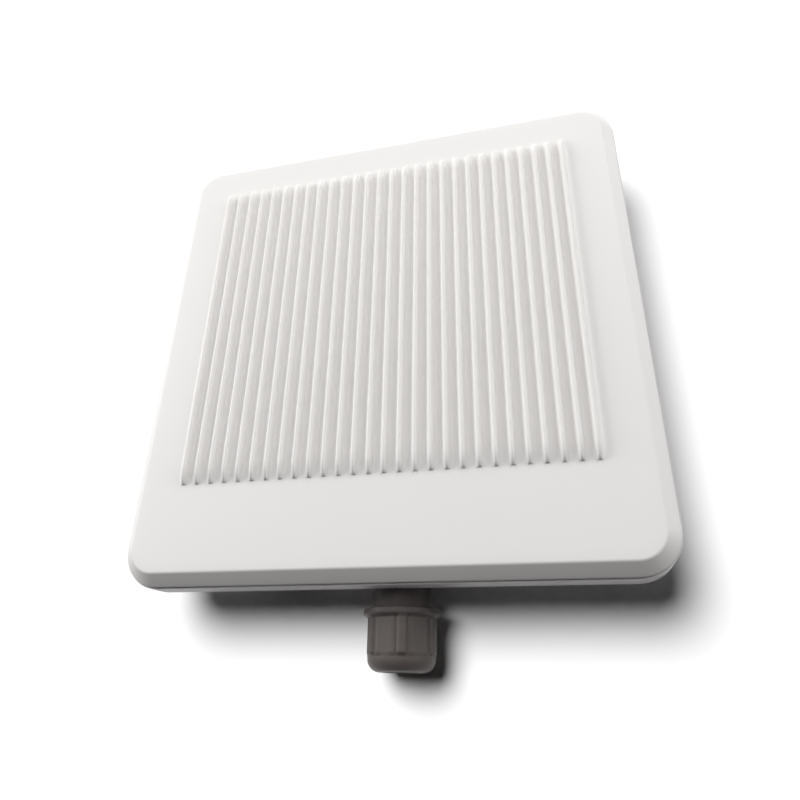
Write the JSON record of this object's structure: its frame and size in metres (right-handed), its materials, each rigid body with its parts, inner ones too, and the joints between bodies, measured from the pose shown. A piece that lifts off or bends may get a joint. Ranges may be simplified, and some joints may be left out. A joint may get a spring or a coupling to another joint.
{
  "type": "wireless access point",
  "caption": "Square weatherproof wireless access point with a ribbed white front cover, a cast rear housing with threaded inserts, and a screw-down cable gland in its lower edge.",
  "frame": {"origin": "centre of the flat rear face of the housing's box, on the mounting plane", "axes": "+Z points out through the ribbed front face, -Y towards the cable gland, +X to the right as seen from the front with the gland at the bottom"},
  "size_m": [0.2092, 0.2368, 0.0467],
  "materials": {
    "cover_plastic": "fine moulded grain, UV-stable white plastic",
    "cast_white": "white powder coat on die-cast alloy",
    "gland_nylon": "black nylon, satin from the mould",
    "black_rubber": "soft matte rubber",
    "zinc_steel": "zinc-plated steel",
    "tinned_sheet": "tin-plated sheet",
    "brass": "turned brass",
    "copper_patch": "copper-clad antenna plate",
    "board_laminate": "green solder mask",
    "chip_plastic": "moulded epoxy",
    "capacitor_sleeve": "printed sleeve without text",
    "alloy_sheet": "mill finish sheet",
    "natural_nylon": "natural nylon",
    "thermal_silicone": "soft filled silicone",
    "vent_film": "white porous film",
    "lead_jacket": "thin coaxial lead jacket"
  },
  "bodies": {
    "root": {"front_cover": "cover_plastic", "cover_gasket": "black_rubber", "rear_housing": "cast_white", "cover_screws": "zinc_steel", "mounting_inserts": "brass", "gland_body": "gland_nylon", "gland_washer": "black_rubber", "gland_locknut": "gland_nylon", "vent_plug": "gland_nylon", "vent_membrane": "vent_film", "earth_screw": "zinc_steel", "earth_washer": "zinc_steel", "reset_port_screw": "zinc_steel", "reset_port_seal": "black_rubber", "main_board": "board_laminate", "board_screws": "zinc_steel", "thermal_pad": "thermal_silicone", "processor_shield": "tinned_sheet", "shield_can_2g": "tinned_sheet", "shield_can_5g": "tinned_sheet", "memory_chips": "chip_plastic", "ethernet_jack": "tinned_sheet", "jack_contacts": "brass", "network_transformer": "chip_plastic", "power_transformer": "chip_plastic", "power_capacitors": "capacitor_sleeve", "coax_sockets": "brass", "reset_switch": "chip_plastic", "antenna_posts": "brass", "antenna_reflector": "alloy_sheet", "antenna_spacers": "natural_nylon", "patch_2g_left": "copper_patch", "patch_2g_right": "copper_patch", "patch_5g_left": "copper_patch", "patch_5g_right": "copper_patch", "antenna_leads": "lead_jacket"},
    "gland_insert": {"gland_claw": "gland_nylon", "gland_seal": "black_rubber"},
    "gland_nut": {"gland_nut": "gland_nylon"},
    "reset_key": {"reset_plunger": "natural_nylon"}
  },
  "joints": [
    {"name": "insert_slide", "type": "slide", "parent": "root", "child": "gland_insert", "axis": [0, -1, 0], "range_m": [0, 0.006]},
    {"name": "nut_spin", "type": "hinge", "parent": "gland_insert", "child": "gland_nut", "pos_m": [0.0035, -0.12, 0.015], "axis": [0, -1, 0], "range_deg": [0, 1440]},
    {"name": "reset_press", "type": "slide", "parent": "root", "child": "reset_key", "axis": [0, 0, 1], "range_m": [0, 0.0005], "stiffness_N_per_m": 400}
  ],
  "couplings": [
    {"joint": "insert_slide", "follows": "nut_spin", "m_per_rad": 0.00023873}
  ]
}
